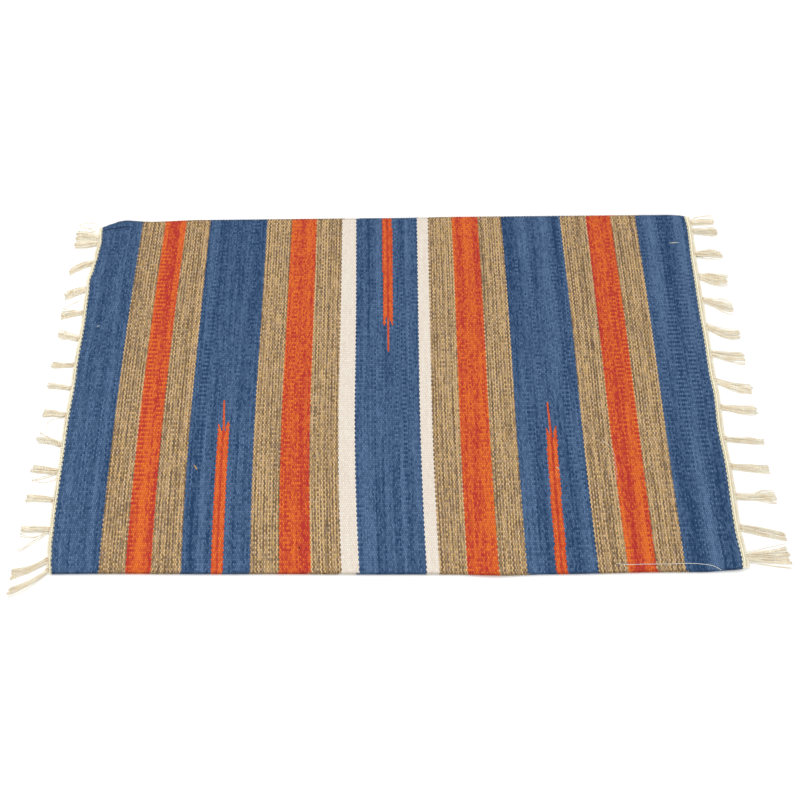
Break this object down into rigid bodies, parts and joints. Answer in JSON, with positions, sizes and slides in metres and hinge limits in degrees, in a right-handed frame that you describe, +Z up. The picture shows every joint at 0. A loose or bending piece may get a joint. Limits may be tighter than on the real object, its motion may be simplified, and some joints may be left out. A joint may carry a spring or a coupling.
{
  "type": "kilim rug",
  "caption": "Flat-woven striped rug with dart motifs and knotted fringes at both ends, lying flat on the floor.",
  "frame": {"origin": "on the floor, under the middle of the woven cloth", "axes": "+X along the warp, the long way of the rug, towards its right-hand fringe as the picture shows it; +Y along the weft, away from the viewer; +Z up"},
  "size_m": [1.0171, 0.6301, 0.0073],
  "materials": {
    "weft_cloth": "matte woven cotton",
    "warp_cotton": "matte undyed cotton"
  },
  "bodies": {
    "root": {"rug_body": "weft_cloth", "fringe_left": "warp_cotton", "fringe_right": "warp_cotton"}
  },
  "joints": []
}
